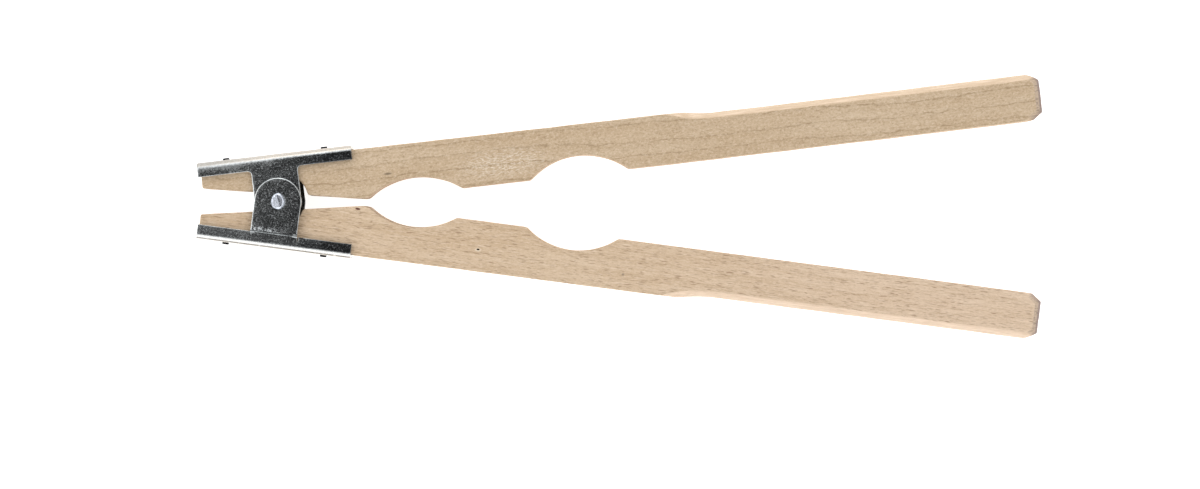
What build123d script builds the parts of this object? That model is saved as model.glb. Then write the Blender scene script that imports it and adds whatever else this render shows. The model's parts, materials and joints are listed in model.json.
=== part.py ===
from build123d import *
from collections import namedtuple
from math import cos, pi, radians, sin
import os

# Tongs for test tubes: two hardwood arms joined near one end by a sheet-steel hinge.
# Millimetres. +X runs from the hinge to the handles, +Z is the hinge axis, and the origin is on that
# axis, at the flat face of the rear rivet head, which is the lowest point of the holder as it lies.
#
# Each arm has a frame of its own on the pivot: "along" runs from the pivot to the handle, "out" runs
# away from the other arm, and the third direction is the thickness, measured from the middle.

# Rest position
upper_tilt = 6.70
lower_tilt = 7.45

# Wooden arms
wood_thickness = 15.0
handle_end = 205.3
kink_along = 23.0
seat_out = 11.4
seat_end = 21.3

# The two arms were sawn by hand and differ a little. A notch is an arc cut into the inner face, and
# the pocket for the spring is a bore. The thicker arm is cut down to the seat under its bracket.
Arm = namedtuple("Arm", "tail_end tail_tip_out outer_edge inner_face small_notch large_notch pocket")
Cut = namedtuple("Cut", "along crest radius")
upper_shape = Arm(
    tail_end=-19.65,
    tail_tip_out=5.75,
    outer_edge=11.4,
    inner_face=-2.0,
    small_notch=Cut(along=36.4, crest=2.27, radius=20.5),
    large_notch=Cut(along=80.66, crest=3.13, radius=19.45),
    pocket=Cut(along=0.6, crest=7.5, radius=7.5),
)
lower_shape = Arm(
    tail_end=-20.1,
    tail_tip_out=6.1,
    outer_edge=11.75,
    inner_face=-1.8,
    small_notch=Cut(along=36.0, crest=2.05, radius=20.0),
    large_notch=Cut(along=78.9, crest=2.78, radius=19.0),
    pocket=Cut(along=0.0, crest=6.9, radius=6.9),
)

# Handles: the outer edge is rounded across the thickness by a shaped cutter
handle_crest = 10.5
handle_face_edge = 8.8
handle_start = 119.0
cutter_radius = 38.0
cutter_sweep = 30.0
cutter_reach = 13.5
end_corner_along = 2.7
end_corner_out = 1.9
end_bevel = 1.6

# Sheet-steel brackets
sheet = 1.0
wood_gap = 0.1
bracket_tail = -20.45
bracket_length = 41.4
web_outside = 12.65
flange_edge = 8.8
bend_inside = 0.6
ear_radius = 6.27
ear_fillet = 1.0
ear_gap = 0.05
joggle_run = 0.35
slit_width = 0.35
slit_depth = 1.1

# Pivot rivet and the sleeve on it
rivet_radius = 1.6
rivet_clearance = 0.05
rear_head_radius = 2.4
rear_head_corner = 0.7
rear_head_height = 1.2
front_head_radius = 2.05
front_head_flat = 1.1
front_head_height = 1.0
sleeve_bore = 1.7
sleeve_radius = 2.6

# Torsion spring, wound left-handed so that closing the arms winds it tighter
wire_radius = 0.6
coil_radius = 4.7
coil_height = 10.6
coil_turns = 7
leg_reach = 9.3
leg_tip_to_seat = 1.5
leg_hole_radius = 0.85

# Nails through the webs
nail_radius = 0.5
nail_head_radius = 0.9
nail_head_height = 0.62
nail_length = 6.5
nail_point = 1.2
nail_clearance = 0.03
tail_nail_along = -13.05
handle_nail_along = 13.35

# Heights through the hinge, measured from the middle of the wood
half_wood = wood_thickness / 2
flange_inside = half_wood + wood_gap
flange_outside = flange_inside + sheet
raised_inside = flange_outside + ear_gap
raised_outside = raised_inside + sheet
middle = rear_head_height + raised_outside
web_inside = web_outside - sheet

# The coil's turn between its two legs, which lie along the arms' out directions. A leg keeps the
# coil's slope, so where it sits in the wood, a little short of its tip, is beyond the coil's end.
coil_turn = 360 * coil_turns - (upper_tilt + lower_tilt)
coil_pitch = coil_height * 360 / coil_turn
coil_slope = coil_pitch / (2 * pi * coil_radius)
leg_level = coil_height / 2 + coil_slope * (leg_reach - leg_tip_to_seat)

upper_frame = Plane(
    origin=(0, 0, middle),
    x_dir=(cos(radians(upper_tilt)), sin(radians(upper_tilt)), 0),
    z_dir=(0, 0, 1),
)
lower_frame = Plane(
    origin=(0, 0, middle),
    x_dir=(cos(radians(lower_tilt)), -sin(radians(lower_tilt)), 0),
    z_dir=(0, 0, -1),
)


def across(frame, along):
    """Plane square to an arm: its X is the arm's out direction, its Y the thickness."""
    return Plane(
        origin=frame.from_local_coords((along, 0, 0)),
        x_dir=frame.y_dir,
        z_dir=frame.x_dir,
    )


def facing_out(frame, along, out, level=0):
    """Plane square to the out direction, for holes drilled inwards from the outer edge."""
    return Plane(
        origin=frame.from_local_coords((along, out, level)),
        x_dir=frame.x_dir,
        z_dir=frame.y_dir,
    )


def square_to(frame, start, finish):
    """Plane square to the straight line between two points of an arm's outline, facing outwards."""
    first = frame.from_local_coords(Vector(*start))
    second = frame.from_local_coords(Vector(*finish))
    forward = (second - first).normalized()
    return Plane(origin=first, x_dir=forward.cross(frame.z_dir), z_dir=forward)


def make_arm(frame, shape):
    """One wooden arm: a notched stick with a pocket for the spring and a rounded handle."""
    # The handle's end in plan: an end face between two cut corners
    end_outline = [
        (handle_end - end_corner_along, shape.inner_face),
        (handle_end, shape.inner_face + end_corner_out),
        (handle_end, handle_crest - end_corner_out),
        (handle_end - end_corner_along, handle_crest),
    ]
    outer_side = [(handle_end - end_corner_along, shape.outer_edge)]
    if shape.outer_edge > seat_out:
        outer_side.append((seat_end, shape.outer_edge))
        outer_side.append((seat_end, seat_out))
    with BuildPart() as arm:
        with BuildSketch(frame):
            with BuildLine():
                Polyline(
                    (shape.tail_end, shape.tail_tip_out),
                    (kink_along, shape.inner_face),
                    *end_outline,
                    *outer_side,
                    (shape.tail_end, seat_out),
                    close=True,
                )
            make_face()
            for cut in (shape.small_notch, shape.large_notch, shape.pocket):
                with Locations((cut.along, cut.crest - cut.radius)):
                    Circle(cut.radius, mode=Mode.SUBTRACT)
        extrude(amount=half_wood, both=True)

        # The handle's rounded edge, and the curve by which the cutter comes in to it
        cutter_plane = across(frame, handle_start)
        with BuildSketch(cutter_plane) as waste:
            with BuildLine():
                ThreePointArc(
                    (handle_face_edge, -half_wood), (handle_crest, 0), (handle_face_edge, half_wood)
                )
                Polyline(
                    (handle_face_edge, half_wood),
                    (cutter_reach, half_wood),
                    (cutter_reach, -half_wood),
                    (handle_face_edge, -half_wood),
                )
            make_face()
        extrude(amount=handle_end - handle_start, mode=Mode.SUBTRACT)
        cutter_axis = Axis(
            cutter_plane.from_local_coords((handle_crest + cutter_radius, 0, 0)),
            -cutter_plane.y_dir,
        )
        revolve(waste.sketch, axis=cutter_axis, revolution_arc=cutter_sweep, mode=Mode.SUBTRACT)

        # Bevels round the handle's end, on both faces
        for start, finish in zip(end_outline, end_outline[1:]):
            with BuildSketch(square_to(frame, start, finish)):
                with BuildLine():
                    Polyline(
                        (-end_bevel, half_wood),
                        (end_bevel, half_wood),
                        (end_bevel, half_wood - 2 * end_bevel),
                        close=True,
                    )
                make_face()
                mirror(about=Plane.XZ)
            extrude(amount=handle_crest - shape.inner_face, both=True, mode=Mode.SUBTRACT)

        # Holes for the spring's leg and the two nails
        with Locations(facing_out(frame, -coil_radius, leg_reach + wire_radius, leg_level)):
            Hole(leg_hole_radius, depth=leg_reach)
        for nail_along in (tail_nail_along, handle_nail_along):
            with Locations(facing_out(frame, nail_along, seat_out)):
                Hole(nail_radius + nail_clearance, depth=nail_length)
    return arm


def make_bracket(frame, joggled):
    """One channel with two ears. A joggled ear stands outside the plain ear of the other bracket."""
    ear_inside = raised_inside if joggled else flange_inside
    with BuildPart() as bracket:
        # Both ears seen from the side, then trimmed to a width with a round end on the pivot
        with BuildSketch(across(frame, -ear_radius)):
            with BuildLine():
                Polyline(
                    (-ear_radius, ear_inside),
                    (flange_edge - joggle_run, ear_inside),
                    (flange_edge, flange_inside),
                    (flange_edge + sheet, flange_inside),
                    (flange_edge + sheet, flange_outside),
                    (flange_edge, flange_outside),
                    (flange_edge - joggle_run, ear_inside + sheet),
                    (-ear_radius, ear_inside + sheet),
                    close=True,
                )
            make_face()
            mirror(about=Plane.XZ)
        extrude(amount=2 * ear_radius)
        with BuildSketch(frame):
            Circle(ear_radius)
            with Locations((0, flange_edge / 2 + sheet / 2)):
                Rectangle(2 * ear_radius, flange_edge + sheet)
        extrude(amount=raised_outside, both=True, mode=Mode.INTERSECT)

        with BuildSketch(across(frame, bracket_tail)):
            with BuildLine():
                FilletPolyline(
                    (flange_edge, -flange_outside),
                    (web_outside, -flange_outside),
                    (web_outside, flange_outside),
                    (flange_edge, flange_outside),
                    radius=bend_inside + sheet,
                )
                FilletPolyline(
                    (flange_edge, -flange_inside),
                    (web_inside, -flange_inside),
                    (web_inside, flange_inside),
                    (flange_edge, flange_inside),
                    radius=bend_inside,
                )
                Line((flange_edge, -flange_outside), (flange_edge, -flange_inside))
                Line((flange_edge, flange_outside), (flange_edge, flange_inside))
            make_face()
        extrude(amount=bracket_length)

        if joggled:
            # A short slit frees the handle side of each ear for the joggle
            with BuildSketch(frame):
                with Locations((ear_radius + slit_width / 2, flange_edge + slit_depth / 2)):
                    Rectangle(slit_width, slit_depth)
            extrude(amount=raised_outside, both=True, mode=Mode.SUBTRACT)
        else:
            corners = bracket.edges().filter_by(Axis.Z)
            root = [
                edge
                for edge in corners
                if abs(frame.to_local_coords(edge.center()).Y - flange_edge) < wood_gap
                and abs(frame.to_local_coords(edge.center()).X) < ear_radius + sheet
            ]
            fillet(root, ear_fillet)

        with Locations(frame):
            Hole(rivet_radius + rivet_clearance)
        for nail_along in (tail_nail_along, handle_nail_along):
            with Locations(facing_out(frame, nail_along, web_outside)):
                Hole(nail_radius + nail_clearance, depth=2 * sheet)
    return bracket


def make_nail(frame, along):
    """Small nail through the web: a low domed head, a round shank and a point."""
    nail_frame = Plane(frame.from_local_coords((along, 0, 0)), frame.x_dir, frame.z_dir)
    with BuildPart() as nail:
        with BuildSketch(nail_frame):
            with BuildLine():
                Polyline(
                    (0, web_outside + nail_head_height),
                    (nail_head_radius / 2, web_outside + nail_head_height),
                    (nail_head_radius, web_outside + nail_head_height / 2),
                    (nail_head_radius, web_outside),
                    (nail_radius, web_outside),
                    (nail_radius, web_outside - nail_length + nail_point),
                    (0, web_outside - nail_length),
                    close=True,
                )
            make_face()
        revolve(axis=Axis(nail_frame.origin, nail_frame.y_dir))
    return nail


def make_rivet():
    """Pivot rivet: a flat-faced rear head, the shank, and a front head peened over the ears."""
    rear_head_flat = rear_head_radius - rear_head_corner
    front_seat = middle + raised_outside
    with BuildPart() as rivet:
        with BuildSketch(Plane.XZ):
            with BuildLine():
                JernArc((rear_head_flat, 0), tangent=(1, 0), radius=rear_head_corner, arc_size=90)
                Polyline(
                    (rear_head_radius, rear_head_corner),
                    (rear_head_radius, rear_head_height),
                    (rivet_radius, rear_head_height),
                    (rivet_radius, front_seat),
                    (front_head_radius, front_seat),
                    (front_head_radius, front_seat + front_head_height / 2),
                    (front_head_flat, front_seat + front_head_height),
                    (0, front_seat + front_head_height),
                    (0, 0),
                    (rear_head_flat, 0),
                )
            make_face()
        revolve(axis=Axis.Z)
    return rivet


def make_sleeve():
    """Spacer tube on the rivet, which keeps the plain ears apart and carries the coil."""
    with BuildPart() as sleeve:
        with BuildSketch(Plane.XY.offset(middle)):
            Circle(sleeve_radius)
            Circle(sleeve_bore, mode=Mode.SUBTRACT)
        extrude(amount=flange_inside - ear_gap, both=True)
    return sleeve


def make_spring():
    """Torsion spring: a coil on the pivot with one straight leg into each arm."""
    with BuildPart() as spring:
        with BuildLine() as wire:
            coil = Helix(
                coil_pitch,
                coil_height,
                coil_radius,
                center=(0, 0, middle - coil_height / 2),
                lefthand=True,
            )
            Line(coil @ 1, (coil @ 1) + (coil % 1) * leg_reach)
            Line(coil @ 0, (coil @ 0) - (coil % 0) * leg_reach)
        path = wire.wire()
        with BuildSketch(Plane(path @ 0, z_dir=path % 0)):
            Circle(wire_radius)
        sweep(path=path, is_frenet=True)
    spring.part = spring.part.rotate(Axis.Z, 180 - lower_tilt)
    return spring


pieces = {
    "upper_arm": make_arm(upper_frame, upper_shape),
    "lower_arm": make_arm(lower_frame, lower_shape),
    "upper_bracket": make_bracket(upper_frame, joggled=False),
    "lower_bracket": make_bracket(lower_frame, joggled=True),
    "upper_tail_nail": make_nail(upper_frame, tail_nail_along),
    "upper_handle_nail": make_nail(upper_frame, handle_nail_along),
    "lower_tail_nail": make_nail(lower_frame, tail_nail_along),
    "lower_handle_nail": make_nail(lower_frame, handle_nail_along),
    "pivot_rivet": make_rivet(),
    "spacer_sleeve": make_sleeve(),
    "torsion_spring": make_spring(),
}

os.makedirs("parts", exist_ok=True)
for name, piece in pieces.items():
    piece.part.label = name
    export_step(piece.part, f"parts/{name}.step")
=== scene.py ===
import json
import math
import random
from collections import namedtuple

import bpy
from mathutils import Matrix, Vector, noise
from mathutils.geometry import delaunay_2d_cdt


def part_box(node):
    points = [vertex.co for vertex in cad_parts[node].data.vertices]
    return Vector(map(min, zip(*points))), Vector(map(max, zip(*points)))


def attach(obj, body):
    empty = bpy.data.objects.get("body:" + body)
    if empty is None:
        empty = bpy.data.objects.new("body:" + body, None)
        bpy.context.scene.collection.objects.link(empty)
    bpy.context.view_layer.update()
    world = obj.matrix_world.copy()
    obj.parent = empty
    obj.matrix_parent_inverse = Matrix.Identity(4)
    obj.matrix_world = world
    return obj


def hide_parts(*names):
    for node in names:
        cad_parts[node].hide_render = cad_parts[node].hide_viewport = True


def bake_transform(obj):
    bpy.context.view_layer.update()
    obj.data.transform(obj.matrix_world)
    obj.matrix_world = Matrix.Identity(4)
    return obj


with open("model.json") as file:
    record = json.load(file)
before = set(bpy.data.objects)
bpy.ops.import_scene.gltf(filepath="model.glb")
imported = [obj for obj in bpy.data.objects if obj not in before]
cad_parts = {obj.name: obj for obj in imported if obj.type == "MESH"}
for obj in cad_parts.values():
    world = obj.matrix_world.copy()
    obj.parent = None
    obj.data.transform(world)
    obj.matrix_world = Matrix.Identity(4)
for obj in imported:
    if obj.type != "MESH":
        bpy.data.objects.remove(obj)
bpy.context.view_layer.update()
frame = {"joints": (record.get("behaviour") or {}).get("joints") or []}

# ---------------------------------------------------------------- sizes, in millimetres
# Every arm-shaped thing is built in its arm's own frame on the pivot: "along" runs to the handle,
# "out" runs away from the other arm, and "up" is measured from the middle of the wood.
MM = 0.001
MIDDLE = frame["joints"][0]["pos_m"][2] / MM
HALF_WOOD = (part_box("upper_arm")[1].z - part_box("upper_arm")[0].z) / MM / 2
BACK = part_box("pivot_rivet")[0].z / MM
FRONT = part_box("pivot_rivet")[1].z / MM
UPPER_TILT = 6.70
LOWER_TILT = 7.45

KINK = 23.0
HANDLE_END = 205.3
SEAT_OUT = 11.4
SEAT_END = 21.3
HANDLE_CREST = 10.5
HANDLE_FACE_EDGE = 8.8
HANDLE_START = 119.0
CUTTER_RADIUS = 38.0
CORNER_ALONG = 2.7
CORNER_OUT = 1.9
END_BEVEL = 1.6
WOOD_EASE = 0.32
WOOD_UNEVEN = 0.07
OUTLINE_STEP = 0.5
END_ZONE = 6.0
END_SOFTNESS = 0.2
EDGE_SOFTNESS = 0.3

# The arms differ a little. A cut is an arc: where it is deepest along the arm, how deep, its radius.
Arm = namedtuple("Arm", "tail_end tail_tip outer_edge inner_face cuts bow seed")
UPPER_ARM = Arm(
    tail_end=-19.65,
    tail_tip=5.75,
    outer_edge=11.4,
    inner_face=-2.0,
    cuts=((36.4, 2.27, 20.5), (80.66, 3.13, 19.45), (0.6, 7.5, 7.5)),
    bow=0.28,
    seed=(3.1, 7.7, 1.3),
)
LOWER_ARM = Arm(
    tail_end=-20.1,
    tail_tip=6.1,
    outer_edge=11.75,
    inner_face=-1.8,
    cuts=((36.0, 2.05, 20.0), (78.9, 2.78, 19.0), (0.0, 6.9, 6.9)),
    bow=0.05,
    seed=(11.9, 2.2, 5.8),
)

SHEET = 1.0
SHEET_UNEVEN = 0.035
BRACKET_TAIL = -20.45
BRACKET_HANDLE = 20.95
WEB_OUTSIDE = 12.65
FLANGE_EDGE = 8.8
FLANGE_INSIDE = HALF_WOOD + 0.1
BEND_MIDDLE = 1.1
HANDLE_BEND_GROWTH = 0.18
TAIL_BEND_GROWTH = 0.42
EAR_RADIUS = 6.27
JOGGLE = 1.05
JOGGLE_RUN = 0.35
JOGGLE_START = 0.05
SHEAR_ROUND = 0.26
EDGE_ROUND = 0.14
SLIT_ROUND = 0.07
SLIT = (0.35, 1.1)
RIVET_HOLE = 1.65
NAIL_HOLE = 0.53
TAIL_NAIL = -13.05
HANDLE_NAIL = 13.35

RIVET_RADIUS = 1.6
REAR_HEAD = (2.4, 1.2)
REAR_HEAD_CORNER = 0.7
FRONT_HEAD_NARROWING = 0.83
FRONT_HEAD_STRETCH = 1.04
FRONT_HEAD = (2.05, 1.0)
SLEEVE_BORE = 1.7
SLEEVE_RADIUS = 2.6
WIRE_RADIUS = 0.6
COIL_RADIUS = 4.7
COIL_HEIGHT = 10.6
COIL_TURNS = 7
LEG_REACH = 9.3
NAIL_RADIUS = 0.5
NAIL_HEAD = (0.9, 0.62)
NAIL_LENGTH = 6.5
NAIL_POINT = 1.2


def arm_matrix(upper):
    """From an arm's frame in millimetres to the row frame in metres."""
    angle = math.radians(UPPER_TILT if upper else -LOWER_TILT)
    turned = Matrix.Rotation(angle, 4, "Z")
    if not upper:
        turned = turned @ Matrix.Rotation(math.pi, 4, "X")
    return Matrix.Translation((0, 0, MIDDLE * MM)) @ turned @ Matrix.Scale(MM, 4)


# ---------------------------------------------------------------- mesh helpers


def make_object(name, points, faces, matrix, material, sharp=30, flat=()):
    """A mesh object whose points are given in a frame of millimetres and stored in the row frame."""
    mesh = bpy.data.meshes.new(name)
    mesh.from_pydata([matrix @ Vector(p) for p in points], [], faces)
    mesh.validate()
    mesh.update()
    for polygon in mesh.polygons:
        polygon.use_smooth = True
    mesh.set_sharp_from_angle(angle=math.radians(sharp))
    for index in flat:
        mesh.polygons[index].use_smooth = False
    mesh.materials.append(material)
    made = bpy.data.objects.new(name, mesh)
    bpy.context.scene.collection.objects.link(made)
    return made


def ring_faces(first, second, count, closed=True):
    """Quads between two rings of points, each given by the index of its first point."""
    last = count if closed else count - 1
    return [
        (first + i, first + (i + 1) % count, second + (i + 1) % count, second + i)
        for i in range(last)
    ]


def lathe(name, profile, sides, matrix, material, shape=None, sharp=30):
    """A turned piece. profile is (radius, height) from the bottom axis point to the top one."""
    points, faces = [], []
    for radius, height in profile:
        for i in range(sides):
            angle = 2 * math.pi * i / sides
            point = Vector((radius * math.cos(angle), radius * math.sin(angle), height))
            points.append(shape(point) if shape else point)
    for row in range(len(profile) - 1):
        faces += ring_faces(row * sides, (row + 1) * sides, sides)
    faces.append(tuple(reversed(range(sides))))
    top = (len(profile) - 1) * sides
    faces.append(tuple(range(top, top + sides)))
    return make_object(name, points, faces, matrix, material, sharp)


def arc_points(centre, radius, start, finish, steps):
    """Points on an arc between two angles in degrees, both ends included."""
    made = []
    for i in range(steps + 1):
        angle = math.radians(start + (finish - start) * i / steps)
        made.append((centre[0] + radius * math.cos(angle), centre[1] + radius * math.sin(angle)))
    return made


def spaced(start, finish, step):
    """Points on a straight line, the first end included and the last one left out."""
    length = math.dist(start, finish)
    count = max(1, round(length / step))
    return [
        (
            start[0] + (finish[0] - start[0]) * i / count,
            start[1] + (finish[1] - start[1]) * i / count,
        )
        for i in range(count)
    ]


def resample(points, step):
    """A closed outline with its points evenly spaced, which keeps its shape to within a step."""
    closed = points + points[:1]
    lengths = [math.dist(a, b) for a, b in zip(closed, closed[1:])]
    count = round(sum(lengths) / step)
    gap = sum(lengths) / count
    made, travelled, target = [], 0.0, 0.0
    for (a, b), length in zip(zip(closed, closed[1:]), lengths):
        while target < travelled + length and len(made) < count:
            t = (target - travelled) / length
            made.append((a[0] + (b[0] - a[0]) * t, a[1] + (b[1] - a[1]) * t))
            target += gap
        travelled += length
    return made


def outward_normals(points):
    """Unit normals of a closed outline that runs anticlockwise."""
    made = []
    count = len(points)
    for i in range(count):
        before, after = points[i - 1], points[(i + 1) % count]
        across = Vector((after[1] - before[1], before[0] - after[0]))
        made.append(across.normalized())
    return made


# ---------------------------------------------------------------- wooden arms


def handle_height(along, up):
    """How far out the handle's rounded edge stands, where the shaped cutter has passed."""
    sagitta = HANDLE_CREST - HANDLE_FACE_EDGE
    radius = (HALF_WOOD**2 + sagitta**2) / (2 * sagitta)
    profile = HANDLE_CREST - (radius - math.sqrt(radius**2 - up**2))
    if along >= HANDLE_START:
        return profile
    axis = HANDLE_CREST + CUTTER_RADIUS
    reach = axis - profile
    behind = HANDLE_START - along
    if behind >= reach:
        return axis
    return axis - math.sqrt(reach**2 - behind**2)


def soft_least(a, b, softness):
    """The smaller of two values, with the corner between them rounded off."""
    h = max(softness - abs(a - b), 0) / softness
    return min(a, b) - h * h * softness / 4


def inner_outline(shape):
    """The arm's inner side in plan, from the tail to where the handle's end begins."""
    slope = (shape.inner_face - shape.tail_tip) / (KINK - shape.tail_end)
    end = HANDLE_END - END_ZONE
    steps = 4000
    side = []
    for i in range(steps + 1):
        along = shape.tail_end + (end - shape.tail_end) * i / steps
        height = max(shape.tail_tip + slope * (along - shape.tail_end), shape.inner_face)
        for centre, crest, radius in shape.cuts:
            inside = radius**2 - (along - centre) ** 2
            if inside > 0:
                height = max(height, crest - radius + math.sqrt(inside))
        side.append((along, height))
    return side


def end_reach(shape, angle, up, ease, bevel):
    """How far the handle's end reaches from its middle in a direction: nearest of its five sides."""
    corner_length = math.hypot(CORNER_ALONG, CORNER_OUT)
    corner = (CORNER_OUT / corner_length, CORNER_ALONG / corner_length)
    half_width = (HANDLE_CREST - shape.inner_face) / 2
    corner_reach = corner[0] * END_ZONE + corner[1] * (half_width - CORNER_OUT)
    rounded_off = HANDLE_CREST - handle_height(HANDLE_END, up)
    sides = [
        ((1.0, 0.0), END_ZONE - bevel),
        ((corner[0], corner[1]), corner_reach - bevel),
        ((corner[0], -corner[1]), corner_reach - bevel),
        ((0.0, 1.0), half_width - rounded_off - ease),
        ((0.0, -1.0), half_width - ease),
    ]
    heading = (math.cos(angle), math.sin(angle))
    reach = 1000.0
    for normal, distance in sides:
        toward = normal[0] * heading[0] + normal[1] * heading[1]
        if toward > 0.001:
            reach = soft_least(reach, distance / toward, END_SOFTNESS)
    return reach


def make_arm(name, upper, material):
    """One arm: its outline in plan, repeated from face to face, with its edges eased."""
    shape = UPPER_ARM if upper else LOWER_ARM
    end_middle = (HANDLE_END - END_ZONE, (HANDLE_CREST + shape.inner_face) / 2)
    outline = inner_outline(shape)
    outline += [(HANDLE_END, shape.inner_face), (HANDLE_END, HANDLE_CREST)]
    outline += [(HANDLE_END - END_ZONE, shape.outer_edge), (shape.tail_end, shape.outer_edge)]
    outline = resample(outline, OUTLINE_STEP)
    outline = [
        (
            (outline[i - 1][0] + 4 * p[0] + outline[(i + 1) % len(outline)][0]) / 6,
            (outline[i - 1][1] + 4 * p[1] + outline[(i + 1) % len(outline)][1]) / 6,
        )
        for i, p in enumerate(outline)
    ]
    normals = outward_normals(outline)

    # Rows run from the middle out to the eased edge, closer where the end's bevel starts
    levels = [0, 1.6, 3.2, 4.6, 5.4, 5.75, 5.9, 6.1, 6.5, 6.9]
    levels += [HALF_WOOD - WOOD_EASE * (1 - math.sin(math.radians(a))) for a in range(0, 91, 18)]
    levels = [-z for z in reversed(levels[1:])] + levels

    points = []
    for up in levels:
        depth = max(0.0, abs(up) - (HALF_WOOD - WOOD_EASE))
        ease = WOOD_EASE - math.sqrt(max(0.0, WOOD_EASE**2 - depth**2))
        bevel = max(0.0, abs(up) - (HALF_WOOD - END_BEVEL))
        for (along, out), normal in zip(outline, normals):
            if along > end_middle[0]:
                angle = math.atan2(out - end_middle[1], along - end_middle[0])
                reach = end_reach(shape, angle, up, ease, bevel)
                along = end_middle[0] + reach * math.cos(angle)
                out = end_middle[1] + reach * math.sin(angle)
            else:
                if normal.y > 0.5 and out > end_middle[1]:
                    edge = SEAT_OUT if along < SEAT_END else shape.outer_edge
                    out = soft_least(edge, handle_height(along, up), EDGE_SOFTNESS)
                along -= normal.x * ease
                out -= normal.y * ease
            span = (along - KINK) / (HANDLE_END - KINK)
            if 0 < span < 1:
                out -= shape.bow * math.sin(math.pi * span)
            place = Vector((along * 0.14, out * 0.3, up * 0.2)) + Vector(shape.seed)
            # Two plain noises, because noise_vector() differs from one run to the next
            lengthwise = noise.noise(place) * WOOD_UNEVEN
            sideways = noise.noise(place + Vector((0, 0, 9.5))) * WOOD_UNEVEN
            points.append((along + lengthwise, out + sideways, up))
    faces = []
    count = len(outline)
    for row in range(len(levels) - 1):
        faces += ring_faces(row * count, (row + 1) * count, count)
    faces.append(tuple(reversed(range(count))))
    last = (len(levels) - 1) * count
    faces.append(tuple(range(last, last + count)))
    caps = (len(faces) - 2, len(faces) - 1)
    return make_object(name, points, faces, arm_matrix(upper), material, 40, caps)


# ---------------------------------------------------------------- sheet-steel brackets

WEB_MIDDLE = WEB_OUTSIDE - SHEET / 2
FLANGE_MIDDLE = FLANGE_INSIDE + SHEET / 2
WEB_HALF = FLANGE_MIDDLE - BEND_MIDDLE
BEND_LENGTH = BEND_MIDDLE * math.pi / 2
BEND_END = WEB_HALF + BEND_LENGTH
FLAT_EDGE = BEND_END + WEB_MIDDLE - BEND_MIDDLE - FLANGE_EDGE
FLAT_PIVOT = BEND_END + WEB_MIDDLE - BEND_MIDDLE


def folded(along, across, lift, joggled):
    """Where a point of the flat blank goes once the channel is folded. lift is off mid-thickness.
    The plain bracket's front bend is wider than the others, and opens out towards the tail."""
    side = -1 if across < 0 else 1
    reach = abs(across)
    radius = BEND_MIDDLE
    if side > 0 and not joggled:
        share = (BRACKET_HANDLE - along) / (BRACKET_HANDLE - BRACKET_TAIL)
        share = max(0.0, min(1.0, share)) ** 1.5
        radius += HANDLE_BEND_GROWTH + (TAIL_BEND_GROWTH - HANDLE_BEND_GROWTH) * share
    bend_from = FLAT_PIVOT - WEB_MIDDLE + radius
    bend_to = bend_from - radius * math.pi / 2
    if reach <= bend_to:
        out = WEB_MIDDLE
        up = (FLANGE_MIDDLE - radius) * reach / bend_to
        normal = Vector((1, 0))
    elif reach < bend_from:
        angle = (reach - bend_to) / radius
        out = WEB_MIDDLE - radius + radius * math.cos(angle)
        up = FLANGE_MIDDLE - radius + radius * math.sin(angle)
        normal = Vector((math.cos(angle), math.sin(angle)))
    else:
        out = FLAT_PIVOT - reach
        up = FLANGE_MIDDLE
        normal = Vector((0, 1))
        if joggled:
            share = (FLANGE_EDGE + JOGGLE_START - out) / JOGGLE_RUN
            share = max(0.0, min(1.0, share))
            up += JOGGLE * share * share * (3 - 2 * share)
    return (along, out + normal.x * lift, side * (up + normal.y * lift))


def bracket_outline(joggled):
    """The flat blank: a strip with an ear on each side. It runs anticlockwise."""
    step = 0.45
    ear = EAR_RADIUS
    fillet = 0.35 if joggled else 1.0
    half = []
    half += spaced((BRACKET_HANDLE, 0), (BRACKET_HANDLE, FLAT_EDGE), step)
    if joggled:
        width, depth = SLIT
        half += spaced((BRACKET_HANDLE, FLAT_EDGE), (ear + width, FLAT_EDGE), step)
        half += spaced((ear + width, FLAT_EDGE), (ear + width, FLAT_EDGE - depth), step / 2)
        half += spaced((ear + width, FLAT_EDGE - depth), (ear, FLAT_EDGE - depth), step / 3)
        half += spaced((ear, FLAT_EDGE - depth), (ear, FLAT_PIVOT), step / 2)
    else:
        root = (ear + fillet, FLAT_EDGE + fillet)
        half += spaced((BRACKET_HANDLE, FLAT_EDGE), (ear + fillet, FLAT_EDGE), step)
        half += arc_points(root, fillet, 270, 180, 6)[:-1]
        half += spaced((ear, FLAT_EDGE + fillet), (ear, FLAT_PIVOT), step)
    half += arc_points((0, FLAT_PIVOT), ear, 0, 180, 60)[:-1]
    root = (-ear - fillet, FLAT_EDGE + fillet)
    half += spaced((-ear, FLAT_PIVOT), (-ear, FLAT_EDGE + fillet), step / 2)
    half += arc_points(root, fillet, 0, -90, 6)[:-1]
    half += spaced((-ear - fillet, FLAT_EDGE), (BRACKET_TAIL, FLAT_EDGE), step)
    half += spaced((BRACKET_TAIL, FLAT_EDGE), (BRACKET_TAIL, 0), step)
    other = [(p[0], -p[1]) for p in half[1:]]
    return half + [(BRACKET_TAIL, 0)] + list(reversed(other))


def blank_rows(joggled):
    """Distances from the web's middle at which the folded sheet needs rows of points."""
    rows = [WEB_HALF * i / 6 for i in range(6)]
    bend_rows = 22
    bend_zone = BEND_LENGTH + 2 * TAIL_BEND_GROWTH
    rows += [WEB_HALF - TAIL_BEND_GROWTH + bend_zone * i / bend_rows for i in range(bend_rows + 1)]
    rows += [FLAT_EDGE - 0.4]
    steps = 8 if joggled else 2
    rows += [FLAT_EDGE - JOGGLE_START + JOGGLE_RUN * i / steps for i in range(steps + 1)]
    row = rows[-1] + 0.6
    while row < FLAT_PIVOT + EAR_RADIUS:
        rows.append(row)
        row += 0.8
    return rows


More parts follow.
